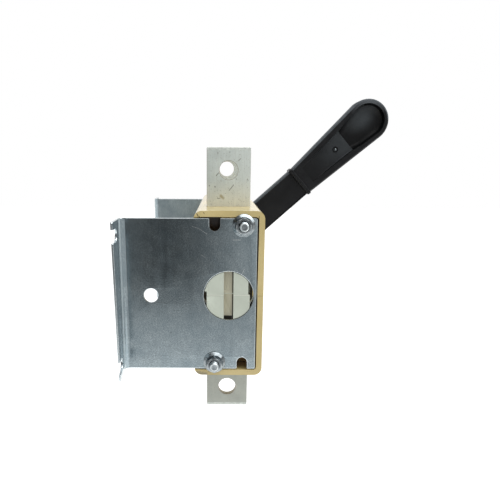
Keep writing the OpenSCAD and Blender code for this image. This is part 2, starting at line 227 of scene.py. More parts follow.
def streaks(tree, place, across, along):
    """Fine lines along Z: noise squeezed to across millimetres and drawn out to along."""
    drawn = node(tree, "Mapping", {"Vector": place, "Scale": (1 / across, 1 / across, 1 / along)})
    lines = node(tree, "TexNoise", {"Vector": drawn, "Scale": 1.0, "Detail": 3.0})
    return node(tree, "MapRange", {0: lines, "From Min": 0.3, "From Max": 0.7})


def coated(tree, ground, *coats):
    """A ground colour under coats of (amount, colour); a colour is hex, or was mixed before."""
    mixed = linear(ground) if isinstance(ground, str) else ground
    for amount, colour in coats:
        coat = linear(colour) if isinstance(colour, str) else colour
        mixed = node(tree, "Mix", {0: amount, 6: mixed, 7: coat}, data_type="RGBA").outputs[2]
    return mixed


def patchy(name, size, detail, first, second, roughness, **constants):
    """A finish in soft patches of two colours; a pair of roughnesses goes from patch to patch."""
    material, tree, place = surface(name)
    patches = cloud(tree, place, size, detail)
    if isinstance(roughness, tuple):
        roughness = node(tree, "MapRange", {0: patches, "To Min": roughness[0], "To Max": roughness[1]})
    finish_surface(tree, coated(tree, first, (patches, second)), roughness, **constants)
    return material


def within(tree, *limits):
    """The product of limits: amounts from 0 to 1, or (value, low, high), 0 at low and 1 at high."""
    held = None
    for limit in limits:
        if isinstance(limit, tuple):
            value, low, high = limit
            limit = node(tree, "MapRange", {0: value, "From Min": low, "From Max": high})
        held = limit if held is None else node(tree, "Math", {0: held, 1: limit}, operation="MULTIPLY")
    return held


def off_axis(tree, place, mirrored=False):
    """The way from the middle of the rotor axis; mirrored, it is the same on both sides."""
    away = node(tree, "VectorMath", {0: place, 1: AXIS}, operation="SUBTRACT")
    return node(tree, "VectorMath", {0: away}, operation="ABSOLUTE") if mirrored else away


# A mark wanders off its line by up to half of this many times its width.
RAGGED = 1.6


def scuff(tree, place, start, end, width):
    """A mark: 1 on the line from start to end, fading to 0 at its width, with a ragged outline."""
    run = end - start
    ragged = node(tree, "TexNoise", {"Vector": place, "Scale": 1.3, "Detail": 4.0}).outputs["Color"]
    shift = node(tree, "VectorMath", {0: ragged, "Scale": width * RAGGED}, operation="SCALE")
    moved = node(tree, "VectorMath", {0: place, 1: shift}, operation="ADD")
    centre = start + Vector((1, 1, 1)) * RAGGED / 2 * width
    away = node(tree, "VectorMath", {0: moved, 1: centre}, operation="SUBTRACT")
    share = run / max(run.length_squared, 1e-6)
    along = node(tree, "VectorMath", {0: away, 1: share}, operation="DOT_PRODUCT").outputs["Value"]
    held = node(tree, "Clamp", {0: along})
    foot = node(tree, "VectorMath", {0: run, "Scale": held}, operation="SCALE")
    apart = node(tree, "VectorMath", {0: away, 1: foot}, operation="DISTANCE").outputs["Value"]
    fade = {0: apart, "From Min": width * 0.3, "From Max": width, "To Min": 1.0, "To Max": 0.0}
    return node(tree, "MapRange", fade)


def marked(tree, place, colour, ink, x, marks):
    """A colour with marks of ink on the face at x, each from y and z to y and z, with its width."""
    for y0, z0, y1, z1, width in marks:
        mark = scuff(tree, place, Vector((x, y0, z0)), Vector((x, y1, z1)), width)
        colour = coated(tree, colour, (mark, ink))
    return colour


# Zinc plate on rolled sheet is a soft mirror: cloudy in patches where the passivation ran, with
# a faint rolling grain from top to bottom and a few bright handling scratches. The faces turned
# inwards hung in the middle of the plating rack and came out duller.
zinc_sheet, tree, place = surface("blue_passivated_zinc_on_rolled_steel")
lines = streaks(tree, place, 1.1, 26)
grain = cloud(tree, place, 1.3, 4)
reach = node(tree, "SeparateXYZ", {0: off_axis(tree, place, mirrored=True)}).outputs[0]
# A painted highlight runs along each bend: a paler zinc colour there, and less metal so that it shows.
bend_painted_highlight = (reach, HALF_LEN + 1.8, HALF_LEN + 2.8), (reach, HALF_LEN + 9, HALF_LEN + 5.5)
bend_painted_highlight = within(tree, *bend_painted_highlight)
colour = coated(
    tree, "#9AA8AE", (cloud(tree, place, 13, 6), "#C1CCCF"),
    (cloud(tree, place, 3.2, 4, high=0.5), "#87949A"), (within(tree, lines, 0.4), "#A3B0B5"),
    (within(tree, grain, 0.6), "#76858C"), (bend_painted_highlight, "#CFD9DC"),
)
OUTER_X = AXIS.x - HALF_LEN
colour = marked(tree, place, colour, "#D5DCDD", OUTER_X, (
    (-62.5, 60.1, -68.5, 58.0, 0.35), (-68.5, 58.0, -75.0, 53.6, 0.35), (-96.8, 48.7, -103.2, 48.8, 0.4),
    (-70.0, 36.0, -73.5, 33.5, 0.25), (-104.0, 18.0, -107.0, 24.0, 0.3),
))
colour = marked(tree, place, colour, "#4A4F52", OUTER_X, ((-43.2, -33.0, -43.2, -33.6, 0.55),))
uneven = {0: streaks(tree, place, 4.0, 40), 1: cloud(tree, place, 9, 5)}
uneven = node(tree, "Math", uneven, operation="ADD")
shine = node(tree, "MapRange", {0: uneven, "From Max": 2.0, "To Min": 0.13, "To Max": 0.21})
inner = node(tree, "Math", {0: reach, 1: HALF_LEN - SHEET_T * 0.7}, operation="LESS_THAN")
dulled = node(tree, "MapRange", {0: inner, "To Min": 0.0, "To Max": 0.26})
shine = node(tree, "Math", {0: shine, 1: dulled}, operation="ADD")
metal = node(tree, "MapRange", {0: inner, "To Min": 1.0, "To Max": 0.72})
bend_highlight_less_metal = node(tree, "Math", {0: bend_painted_highlight, 1: -0.4}, operation="MULTIPLY")
metal = node(tree, "Math", {0: metal, 1: bend_highlight_less_metal}, operation="ADD")
finish_surface(tree, colour, shine, ((0.25, 0.012, lines), (0.5, 0.02, grain)), Metallic=metal)

# The punched edges are burnished by the tool and plated bright.
zinc_edge = patchy("bright_zinc_on_sheared_edge", 1.2, 3, "#BAC4C9", "#DDE4E6", 0.17, Metallic=1.0)


def cut_across(made, point, normal):
    """Cut a mesh along a plane, so that it can bend or step there."""
    everything = [*made.verts, *made.edges, *made.faces]
    bmesh.ops.bisect_plane(made, geom=everything, dist=1e-4, plane_co=point, plane_no=normal)


def cheek(side):
    """One cheek, +1 for the right: drawn flat from its front edge, then bent at the rear."""
    half_h = (cheek_high.z - cheek_low.z) / 2
    to_bend = -cheek_low.y - BEND_R - SHEET_T / 2
    bend_l = BEND_R * math.pi / 2
    flange_l = (cheek_high.x - cheek_low.x) - BEND_R - SHEET_T / 2
    full_l = to_bend + bend_l + flange_l
    axis_u = AXIS.y - cheek_low.y
    earth_u = mount_at("left_earth_hole").y - cheek_low.y
    slot_z = mount_at("left_top_slot").z
    notch_z = abs(STUD.z) - NOTCH_W / 2
    near_u = axis_u - abs(STUD.y)
    far_u = axis_u + abs(STUD.y)
    mouth_r = 0.6
    corner_r = 2.5
    front_r = 1.0

    def notch(u, z, way):
        """A round-ended notch from the long edge at the side of z, drawn in the way given."""
        edge = math.copysign(half_h, z)
        first, last = u - way * NOTCH_W / 2, u + way * NOTCH_W / 2
        r = NOTCH_W / 2
        return [(first, edge, mouth_r), (first, z, r), (last, z, r), (last, edge, mouth_r)]

    outline = [(0, -half_h, front_r), *notch(near_u, -notch_z, 1), (full_l, -half_h, corner_r)]
    for middle in (-slot_z, slot_z):
        low, high = middle - SLOT_W / 2, middle + SLOT_W / 2
        deep = full_l - SLOT_DEPTH
        outline += [(full_l, low, mouth_r), (deep, low, SLOT_W / 2)]
        outline += [(deep, high, SLOT_W / 2), (full_l, high, mouth_r)]
    outline += [(full_l, half_h, corner_r), *notch(far_u, notch_z, -1), (0, half_h, front_r)]
    holes = [circle(axis_u, 0, WINDOW_D, 96), circle(earth_u, 0, EARTH_HOLE_D, 48)]
    holes += [circle(near_u, abs(STUD.z), STUD_HOLE_D), circle(far_u, -abs(STUD.z), STUD_HOLE_D)]
    made = plate(rounded(outline), holes, SHEET_T, SHEET_RIM)
    turns = 14
    for k in range(turns + 1):
        cut_across(made, (to_bend + bend_l * k / turns, 0, 0), (1, 0, 0))
    inner = HALF_LEN - SHEET_T
    for vert in made.verts:
        u, z, w = vert.co
        angle = min(max((u - to_bend) / BEND_R, 0), math.pi / 2)
        along = max(u - to_bend - bend_l, 0)
        r = BEND_R - w
        x = inner + BEND_R + SHEET_T / 2 - r * math.cos(angle) + along
        y = cheek_low.y + min(u, to_bend) + r * math.sin(angle) - along * (SPRUNG - SPRUNG_TWIST * z)
        vert.co = (AXIS.x + side * x, y, AXIS.z + z)
    bmesh.ops.recalc_face_normals(made, faces=made.faces)
    return made


for name, side in (("left_cheek", -1), ("right_cheek", 1)):
    add_piece(name + "_sheet", cheek(side), "frame", [zinc_sheet, zinc_edge], [name])

# ---- Housing ----
# Two like halves of mineral-filled thermoset, compression moulded, the lower one turned half
# way round. They meet along the rotor axis and are held by the studs and the terminal bars.

EDGE_R = 0.45
END_WALL_X = 99.3
RECESS_HALF_W = 26.0
RECESS_HALF_H = 69.0
RECESS_SHADE_FROM_X = 114.0
RECESS_SHADE_FULL_X = 108.0
CHAMBER_SHADE_REACH = (101.0, 25.4, 26.0)
GAP_FROM_X = 109.0
GAP_AT_Y = 24.9


def rounded_copy(name, radius):
    """A CAD solid's own mesh in millimetres, with its flat faces whole and its edges rounded."""
    made = bmesh.new()
    made.from_mesh(frame["nodes"][name].data)
    bmesh.ops.scale(made, verts=made.verts, vec=(1 / MM, 1 / MM, 1 / MM))
    bmesh.ops.remove_doubles(made, verts=made.verts, dist=0.004)
    bmesh.ops.dissolve_limit(made, angle_limit=math.radians(0.5), verts=made.verts, edges=made.edges)
    sharp = [e for e in made.edges if e.is_manifold and e.calc_face_angle() > math.radians(30)]
    bmesh.ops.bevel(
        made, geom=sharp, offset=radius, segments=2, profile=0.5, affect="EDGES", clamp_overlap=True
    )
    return made


# Moulded thermoset is a dull buff with a slight bloom where it flowed, fine mineral specks and a
# soft gloss that whitens it at a low angle. Painted shade turns the inside of the end recesses
# brown, painted lighter towards their foot, greys the chambers round the contacts, and darkens the
# narrow gaps beside the cheeks' fronts.
thermoset, tree, place = surface("compression_moulded_thermoset")
specks = cloud(tree, place, 0.7, 2)
few = within(tree, (specks, 0.75, 1.0), 0.5)
away = off_axis(tree, place, mirrored=True)
spans = node(tree, "SeparateXYZ", {0: away}).outputs
height = node(tree, "SeparateXYZ", {0: place}).outputs[2]
under_rim = node(tree, "Math", {0: spans[2], 1: RECESS_HALF_H}, operation="LESS_THAN")
# Painted shade inside the end recesses: a dark brown.
recess_painted_shade = within(
    tree,
    (spans[0], RECESS_SHADE_FROM_X, RECESS_SHADE_FULL_X),
    node(tree, "Math", {0: spans[0], 1: END_WALL_X - 2.5}, operation="GREATER_THAN"),
    node(tree, "Math", {0: spans[1], 1: RECESS_HALF_W}, operation="LESS_THAN"),
    under_rim,
)
# The recess shade is painted lighter towards the foot, as painted light.
foot = within(tree, (height, -40.0, -60.0))
recess_shade_colour = coated(tree, "#3A250F", (cloud(tree, place, 5), "#5E431E"), (foot, "#A08450"))
# Painted shade: grey inside the chambers round the contacts.
beyond = node(tree, "VectorMath", {0: away, 1: CHAMBER_SHADE_REACH}, operation="DIVIDE")
beyond = node(tree, "SeparateXYZ", {0: beyond}).outputs
farthest = node(tree, "Math", {0: beyond[0], 1: beyond[1]}, operation="MAXIMUM")
farthest = node(tree, "Math", {0: farthest, 1: beyond[2]}, operation="MAXIMUM")
chamber_painted_shade = node(tree, "Math", {0: farthest, 1: 1.0}, operation="LESS_THAN")
# Painted shade: dark in the narrow gaps beside the cheeks' fronts.
gap_painted_shade = within(
    tree,
    node(tree, "Math", {0: spans[0], 1: GAP_FROM_X}, operation="GREATER_THAN"),
    node(tree, "Math", {0: spans[1], 1: GAP_AT_Y, 2: 0.3}, operation="COMPARE"),
    (height, 28.0, 46.0),
    0.85,
    under_rim,
)
colour = coated(
    tree, "#B7A56B", (cloud(tree, place, 22), "#C2B079"), (few, "#9C8B5F"), (recess_painted_shade, recess_shade_colour),
    (chamber_painted_shade, "#47443B"), (gap_painted_shade, "#3E3620"),
)
END_FACE_X = corners("upper_housing")[0].x
colour = marked(tree, place, colour, "#4A4028", END_FACE_X, (
    (-66.4, 70.6, -67.6, 68.6, 0.5), (-72.0, 71.6, -72.6, 70.8, 0.45),
))
# A broad darker mark runs along the lower rear corner of the end face.
colour = marked(tree, place, colour, "#8C815F", END_FACE_X, ((-66.5, -70.8, -73.5, -72.4, 2.4),))
finish_surface(tree, colour, 0.33, ((0.25, 0.03, specks),), Coat_Weight=0.8, Coat_Roughness=0.2)

for name in ("upper_housing", "lower_housing"):
    add_piece(name + "_moulding", rounded_copy(name, EDGE_R), "frame", [thermoset], [name])

# ---- Terminal bars ----
# Six flat copper bars 40 by 6 mm, sheared to length, punched for the cable lug and two bolts,
# and tin plated by dipping. Each stands on edge in its slot and is bolted to a moulded rib.

BAR_BOLT_HOLE_D = 6.4
BAR_BOLT_PITCH = 22.0
LUG_HOLE_D = 17.0
SHEAR_FALL = 0.4
SHEAR_BAND = 2.8
SHEAR_STEP = 0.12
SHEAR_STEP_L = 0.3
BAR_RIM = 0.3


def bar(node_name):
    """A bar drawn flat from its inner end, with a slight fall towards the sheared outer end."""
    low, high = corners(node_name)
    half_w = (high.y - low.y) / 2
    length = high.z - low.z
    lug = mount_at(node_name.replace("terminal", "lug_hole"))
    up = 1 if low.z > 0 else -1
    inner_z = low.z if up > 0 else high.z
    bolt_low, bolt_high = corners("upper_bar_bolts" if up > 0 else "lower_bar_bolts")
    bolt_v = abs((bolt_low.z + bolt_high.z) / 2 - inner_z)
    outline = rounded([(-half_w, 0, 0.5), (half_w, 0, 0.5), (half_w, length, 1.2), (-half_w, length, 1.2)])
    holes = [circle(0, abs(lug.z - inner_z), LUG_HOLE_D, 80)]
    holes += [circle(s * BAR_BOLT_PITCH / 2, bolt_v, BAR_BOLT_HOLE_D, 32) for s in (-1, 1)]
    made = plate(outline, holes, high.x - low.x, BAR_RIM)
    for height in (length - SHEAR_BAND, length - SHEAR_BAND + SHEAR_STEP_L, length - 1.2):
        cut_across(made, (0, height, 0), (0, 1, 0))
    middle = (low + high) / 2
    for vert in made.verts:
        u, v, w = vert.co
        fall = min(max(v - length + SHEAR_BAND, 0) / SHEAR_STEP_L, 1) * SHEAR_STEP
        fall += SHEAR_FALL * (max(v - length + SHEAR_BAND, 0) / SHEAR_BAND) ** 2
        w -= math.copysign(fall, w)
        vert.co = (middle.x + w, AXIS.y - up * u, inner_z + up * v)
    bmesh.ops.recalc_face_normals(made, faces=made.faces)
    for face in made.faces:
        middle = face.calc_center_median()
        if face.material_index == 0 and abs(middle.z - inner_z) > length - SHEAR_BAND:
            face.material_index = 2
        if face.material_index == 1 and (middle - lug).yz.length < LUG_HOLE_D / 2 + 0.6:
            face.material_index = 3
        # The rear edges take the dark bore finish, as painted shade.
        if face.material_index == 1 and middle.y > high.y - BAR_RIM:
            face.material_index = 3
    return made


# Dipped tin is a dull, faintly cold grey with a soft vertical grain from the rolled bar below it,
# small pits, and a few dark scratches where it was handled. Painted light makes the upper bars
# paler than the lower ones, paler again towards the front edge, and palest beside the housing.
tinned, tree, place = surface("dull_hot_tinned_copper")
drift = cloud(tree, place, 11, 4)
lines = streaks(tree, place, 0.9, 14)
sideways, height = node(tree, "SeparateXYZ", {0: place}).outputs[1:]
above = within(tree, (height, -20.0, 20.0))
# Painted light on the upper bars: paler towards the front edge, and a painted pool of light bounced from
# the housing.
front = within(tree, (sideways, AXIS.y + 20, AXIS.y - 20), 0.45, above)
housing_bounce_light = within(tree, (height, 97.0, 73.0), 0.8, above)
pitted = node(tree, "Clamp", {0: cloud(tree, place, 1.1, low=-2.6, high=0.7)})
# The lower bars take the darker colour and the upper ones the lighter, as painted light from above.
lower = coated(tree, "#9EA29B", (drift, "#ACB0A8"))
upper = coated(tree, "#B7C0BC", (drift, "#C8D0CB"))
colour = coated(
    tree, lower, (above, upper), (front, "#DDE4E0"), (housing_bounce_light, "#E2E0CF"),
    (within(tree, lines, 0.25), "#9FA49D"), (pitted, "#8A8A80"),
)
NEAR_X = corners("upper_terminal_a")[0].x
colour = marked(tree, place, colour, "#6E6E64", NEAR_X, (
    (-101.8, 113.8, -104.4, 116.0, 0.35), (-82.0, 100.6, -84.2, 103.2, 0.45),
    (-94.1, 87.6, -97.9, 92.3, 0.4), (-83.5, 120.9, -83.6, 120.6, 0.6), (-94.5, 121.7, -94.3, 121.6, 0.5),
    (-81.0, 90.9, -81.2, 90.6, 0.7), (-75.9, 92.0, -75.9, 91.6, 0.6), (-83.0, 80.6, -85.6, 80.2, 0.35),
    (-110.6, 98.0, -111.2, 96.2, 0.3),
))
colour = marked(tree, place, colour, "#A8A289", NEAR_X, ((-86.4, 82.6, -88.4, 80.6, 1.9),))
uneven = node(tree, "Math", {0: lines, 1: drift}, operation="ADD")
shine = node(tree, "MapRange", {0: uneven, "From Max": 2.0, "To Min": 0.42, "To Max": 0.55})
finish_surface(tree, colour, shine, ((0.3, 0.03, lines),), Metallic=0.3)

# The sheared end and the cut edges are rougher, with the tin run thin over them.
sheared = patchy("tinned_sheared_edge", 1.5, 4, "#A9AAA2", "#D6D9D3", 0.45, Metallic=0.3)
rolled_over = patchy("tin_over_sheared_roll", 2.6, 2, "#B4BAB5", "#D0D6D0", 0.4, Metallic=0.3)

# The punched hole is a dull grey-brown, darkest just inside the near face of the first bar. The
# rear edges take the same finish as painted shade.
dark_bore_and_painted_edge_shade, tree, place = surface("dark_bore_and_painted_edge_shade_tin")
far_side = node(tree, "SeparateXYZ", {0: place}).outputs[0]
far_side = within(tree, (far_side, NEAR_X + 0.8, NEAR_X + 2.4))
colour = coated(tree, "#7B7668", (cloud(tree, place, 1.2), "#99948A"), (far_side, "#B3AFA3"))
finish_surface(tree, colour, 0.5, Metallic=0.2)

tins = [tinned, sheared, rolled_over, dark_bore_and_painted_edge_shade]
for end in ("upper", "lower"):
    for pole in "abc":
        name = f"{end}_terminal_{pole}"
        add_piece(name + "_bar", bar(name), "frame", tins, [name])

# ---- Fasteners ----
# M6 hexagon bolts hold the bars to their ribs, and M8 studs with flange nuts hold the cheeks.
# All are steel, cold headed, with rolled threads, and bright zinc plated.

BAR_BOLT_D = 6.0
BAR_BOLT_AF = 10.0
BAR_BOLT_HEAD_H = 4.0
BAR_NUT_H = 5.0
BAR_GRIP = 12.0
NUT_AF = 13.0
NUT_FLANGE = ((0.0, 9.2), (0.12, 9.55), (0.4, 9.7), (0.8, 9.7), (1.1, 9.45), (2.9, 7.5))
NUT_HEX_FROM = 2.6
THREAD_PITCH = 1.25
THREAD_DEPTH = 0.65
STUD_END = 1.0

# Zinc plated in a barrel is bright, with small dull patches where the pieces knocked together.
bright_zinc = patchy(
    "bright_zinc_on_cold_headed_steel", 2.2, 4, "#7A8286", "#A4ABAE", (0.26, 0.36), Metallic=1.0,
)

# The chamfers of nuts and studs carry a painted highlight: a paler, less metallic zinc that looks
# bright from every side.
chamfer_painted_highlight = patchy("chamfer_painted_highlight_zinc", 1.5, 3, "#B4BCBE", "#D3D9DA", 0.3, Metallic=0.55)


def ring(x, radius, steps=72):
    """Points of a ring round the X axis; radius is a number or a list with one for each point."""
    radii = radius if isinstance(radius, list) else [radius] * steps
    turn = 2 * math.pi / len(radii)
    return [Vector((x, r * math.cos(k * turn), r * math.sin(k * turn))) for k, r in enumerate(radii)]


def skin(made, rings):
    """Faces from ring to ring, and a flat end over the first and the last."""
    loops = [[made.verts.new(point) for point in points] for points in rings]
    for lower, upper in zip(loops, loops[1:]):
        for i in range(len(lower)):
            j = (i + 1) % len(lower)
            made.faces.new((lower[i], lower[j], upper[j], upper[i]))
    made.faces.new(loops[0][::-1])
    made.faces.new(loops[-1])


def hexagon(across, steps=72):
    """Radii round a hexagon, with its corners a little worn."""
    sixth = math.pi / 3
    worn = across / 2 / math.cos(sixth / 2) * 0.985
    angles = [2 * math.pi * k / steps for k in range(steps)]
    return [min(worn, across / 2 / math.cos((a + sixth / 2) % sixth - sixth / 2)) for a in angles]


def hex_body(made, across, low, high, base=(), bore=0.0):
    """A hexagon from low to high along X, chamfered at high, and countersunk there to a bore."""
    radii = hexagon(across)
    chamfer_r = across * 0.47
    full = ring(low, radii)
    brow = [Vector((high - (r - chamfer_r) * 0.55, p.y, p.z)) for r, p in zip(radii, full)]
    rings = [*base, full, brow, ring(high, chamfer_r * 0.985)]
    if bore:
        rings += [ring(high, bore + 0.75), ring(high - 0.9, bore + 0.1), ring(high - 2.0, bore)]
    skin(made, rings)


def thread(made, diameter, low, high):
    """A rolled thread along X from low to high, with a chamfered end at high."""
    steps, per_turn = 40, 6
    count = round((high - low) / THREAD_PITCH * per_turn)
    core = diameter / 2 - THREAD_DEPTH
    rings = [ring(low, core, steps)]
    for k in range(count + 1):
        x = low + (high - low) * k / count
        radii = []
        for i in range(steps):
            phase = (x / THREAD_PITCH - i / steps) % 1
            groove = min(1.0, 2.3 * abs(phase - 0.5))
            radii.append(min(diameter / 2 - THREAD_DEPTH * groove, diameter / 2 - 0.9 + (high - x)))
        rings.append(ring(x, radii))
    rings.append(ring(high + 0.02, core - 0.9, steps))
    rings.append(ring(high - 0.15, core - 1.3, steps))
    skin(made, rings)


def highlight_rim(made, inner, outer, beyond):
    """Give the second material to the faces between two radii and beyond a height along X."""
    for face in made.faces:
        middle = face.calc_center_median()
        if inner < middle.yz.length < outer and middle.x > beyond:
            face.material_index = 1


def seat_on(made, origin, side=1):
    """Move what was drawn about the X axis to its seat, pointing to +X or -X."""
    for vert in made.verts:
        vert.co = origin + Vector((side * vert.co.x, side * vert.co.y, vert.co.z))
    bmesh.ops.recalc_face_normals(made, faces=made.faces)
    return made


def take_in(made, part):
    """Add a part's mesh to the one being made, and free the part."""
    loose = bpy.data.meshes.new("loose part")
    part.to_mesh(loose)
    part.free()
    made.from_mesh(loose)


plated = [bright_zinc, chamfer_painted_highlight]
for side_name, side in (("left", -1), ("right", 1)):
    for level in ("top", "bottom"):
        name = f"{side_name}_{level}_nut"
        low, high = corners(name)
        nut_h = high.x - low.x
        seat = (low + high) / 2
        seat.x = AXIS.x + side * HALF_LEN
        made = bmesh.new()
        hex_body(made, NUT_AF, NUT_HEX_FROM, nut_h, [ring(x, r) for x, r in NUT_FLANGE], bore=4.0)
        highlight_rim(made, NUT_AF * 0.46, NUT_AF * 0.485, nut_h - 0.2)
        seat_on(made, seat, side)
        add_piece(name + "_flanged", made, "frame", plated, [name])
        name = f"{side_name}_{level}_stud"
        low, high = corners(name)
        reach = abs((high.x if side > 0 else low.x) - seat.x)
        made = bmesh.new()
        thread(made, high.z - low.z, reach - (high.x - low.x), reach - STUD_END)
        highlight_rim(made, 2.3, 4.2, reach - STUD_END - 0.75)
        seat_on(made, seat, side)
        add_piece(name + "_rolled", made, "frame", plated, [name])

for end in ("upper", "lower"):
    name = f"{end}_bar_bolts"
    low, high = corners(name)
    base = [ring(0.0, BAR_BOLT_AF * 0.46)]
    made = bmesh.new()
    for pole in "abc":
        near_x = corners(f"{end}_terminal_{pole}")[0].x
        for s in (-1, 1):
            head, nut, shank = bmesh.new(), bmesh.new(), bmesh.new()
            hex_body(head, BAR_BOLT_AF, 0.0, BAR_BOLT_HEAD_H, base)
            hex_body(nut, BAR_BOLT_AF, 0.0, BAR_NUT_H, base, bore=BAR_BOLT_D / 2)
            skin(shank, [ring(-BAR_GRIP - BAR_NUT_H, BAR_BOLT_D / 2), ring(0.5, BAR_BOLT_D / 2)])
            at = Vector((near_x, AXIS.y + s * BAR_BOLT_PITCH / 2, (low.z + high.z) / 2))
            seat_on(head, at, -1)
            seat_on(shank, at, -1)
            seat_on(nut, at + Vector((BAR_GRIP, 0, 0)), 1)
            for part in (head, nut, shank):
                take_in(made, part)
    add_piece(f"{end}_bar_bolt_set", made, "frame", [bright_zinc], [name])

# ---- Rotor ----
# A shaft moulded in off-white thermoset between two half moulds. Flats along both sides take
# the mould's parting line, and a groove across each end takes the handle's tongue.

SPLIT_Z = 0.6
FLASH = 0.2
END_L = 9.0
FRONT_CUT_ABOVE = 2.0
FRONT_CUT_BELOW = 0.6
REAR_STEP_Z = 4.0

# The rotor is a pale greenish off-white, matt and even, with a fine grain from its filler. The
# grooves are yellowed, with painted shade along one corner and at the foot.
rotor_white, tree, place = surface("off_white_moulded_thermoset")
specks = cloud(tree, place, 0.8, 2)
spans = node(tree, "SeparateXYZ", {0: off_axis(tree, place)}).outputs
depth = node(tree, "Math", {0: spans[0]}, operation="ABSOLUTE")
at_end = node(tree, "Math", {0: depth, 1: HALF_LEN - 8}, operation="GREATER_THAN")
in_groove = within(tree, (depth, HALF_LEN - 2, HALF_LEN - 6), at_end)
groove_shade_edges = {0: within(tree, (spans[1], -2.9, -3.5)), 1: within(tree, (spans[2], -19.2, -19.8))}
groove_painted_shade = within(tree, node(tree, "Math", groove_shade_edges, operation="MAXIMUM"), in_groove)
flash = node(tree, "Math", {0: spans[2], 1: SPLIT_Z, 2: 0.3}, operation="COMPARE")
colour = coated(
    tree, "#B0B7AA", (cloud(tree, place, 15), "#BCC3B6"), (in_groove, "#CCC8B2"), (groove_painted_shade, "#2E2B22"),
    (flash, "#CFD3C6"),
)
finish_surface(tree, colour, 0.45, ((0.15, 0.03, specks),))

made = rounded_copy("rotor", 0.4)
cuts = [(Vector((0, 0, SPLIT_Z + d)), (0, 0, 1)) for d in (-0.25, 0, 0.25)]
cuts += [(Vector((0, 0, REAR_STEP_Z + d)), (0, 0, 1)) for d in (-0.2, 0)]
for reach in (HALF_LEN - END_L - 0.3, HALF_LEN - END_L):
    cuts += [(AXIS + Vector((side * reach, 0, 0)), (1, 0, 0)) for side in (-1, 1)]
for point, normal in cuts:
    cut_across(made, point, normal)
flat_y = rotor_high.y - AXIS.y
journal_r = max((v.co - AXIS).yz.length for v in made.verts if abs(v.co.x - AXIS.x) > HALF_LEN - 1)
for vert in made.verts:
    x, y, z = vert.co - AXIS
    if abs(x) < HALF_LEN - END_L - 0.1:
        continue
    if abs(z - SPLIT_Z) < 0.01 and abs(x) > HALF_LEN - 1:
        vert.co.x += math.copysign(FLASH, x)
    above = z > SPLIT_Z + 0.1
    y = max(y, -flat_y + (FRONT_CUT_ABOVE if above else FRONT_CUT_BELOW))
    if y > flat_y - 0.6 and z > REAR_STEP_Z - 0.05:
        y = max(y, math.sqrt(max(journal_r * journal_r - z * z, 0)))
    vert.co.y, vert.co.z = AXIS.y + y, AXIS.z + z
add_piece("rotor_moulding", made, "rotor_body", [rotor_white], ["rotor"])

# ---- Knives ----
# Each pole has two flat copper blades, one on each side of the fixed bars, riveted through a
# brass block and pressed together by leaf springs of hardened steel.

# Rolled copper keeps the fine lines of the rolls, and has gone brown in patches.
copper, tree, place = surface("tarnished_rolled_copper")
tarnish = cloud(tree, place, 9, 4)
colour = coated(tree, "#8E5B3E", (tarnish, "#BE8560"), (streaks(tree, place, 0.8, 12), "#A9714F"))
shine = node(tree, "MapRange", {0: tarnish, "To Min": 0.28, "To Max": 0.4})
finish_surface(tree, colour, shine, Metallic=1.0)

# Sawn brass is pale yellow, and rough with the teeth's small marks.
brass, tree, place = surface("sawn_brass")
saw = cloud(tree, place, 0.8)
colour = coated(tree, "#B49C5C", (saw, "#D3BE80"))
finish_surface(tree, colour, 0.34, ((0.3, 0.03, saw),), Metallic=1.0)

# Spring steel comes out of the hardening oil a dark blue-grey, uneven in broad patches.
blued = patchy("oil_hardened_spring_steel", 11, 3, "#565C62", "#7C8288", (0.26, 0.38), Metallic=1.0)

for pole in "abc":
    for side in ("left", "right"):
        name = f"{side}_knife_{pole}"
        add_piece(name + "_blade", rounded_copy(name, 0.5), "rotor_body", [copper], [name])
    name = f"knife_spacer_{pole}"
    add_piece(name + "_block", rounded_copy(name, 0.3), "rotor_body", [brass], [name])
    name = f"contact_springs_{pole}"
    add_piece(name + "_pair", rounded_copy(name, 0.2), "rotor_body", [blued], [name])

# ---- Handle ----
# A long moulding of black glass-filled polyamide on a drive hub, which pushes into the rotor's
# groove. The side towards the switch is hollowed, with a collar between the arm and the grip.

HANDLE_TILT = math.radians(41.8)
ARM_W = 39.0
ARM_END = 133.6
NECK_FROM = 100.0
NECK_INSET = 0.6
COLLAR_FROM = 130.2
COLLAR_T = 5.4
GRIP_FROM = 134.0
GRIP_TIP_AT = 249.5
GRIP_TIP_R = 27.0
GRIP_RISE = 1.8
TIP_RIM = 6.2
SIDE_RIM = 9.4
RECESS_FROM = 145.0
STEP_AT = 212.0
PLATEAU_DEPTH = 3.0
PALM_DEPTH = 10.8
PALM_FLOOR = 7.6
PALM_AT = 246.0
PALM_RISE = 8.5
PLATEAU_PINCH = 1.6

WAY = Vector((0, -math.cos(HANDLE_TILT), math.sin(HANDLE_TILT)))
ACROSS = Vector((0, math.sin(HANDLE_TILT), math.cos(HANDLE_TILT)))


def on_grip(tree, place):
    """How far a point lies along the handle from the rotor axis, and how far beside its middle."""
    away = off_axis(tree, place)
    return [
        node(tree, "VectorMath", {0: away, 1: way}, operation="DOT_PRODUCT").outputs["Value"]
        for way in (WAY, ACROSS)
    ]


# Polished mould faces give the arm and rim a deep even black, rubbed greyer round the tip where
# it is held.
black, tree, place = surface("moulded_black_polyamide")
wear = cloud(tree, place, 18, 4)
pores = cloud(tree, place, 0.9, 2)
along, beside = on_grip(tree, place)
held = within(tree, (along, 238.0, 262.0), (beside, -5.0, 14.0))
colour = coated(tree, "#08090B", (wear, "#0D0F12"), (held, "#44484C"))
shine = node(tree, "MapRange", {0: wear, "To Min": 0.36, "To Max": 0.48})
finish_surface(tree, colour, shine, ((0.12, 0.03, pores),), Specular_IOR_Level=0.3)

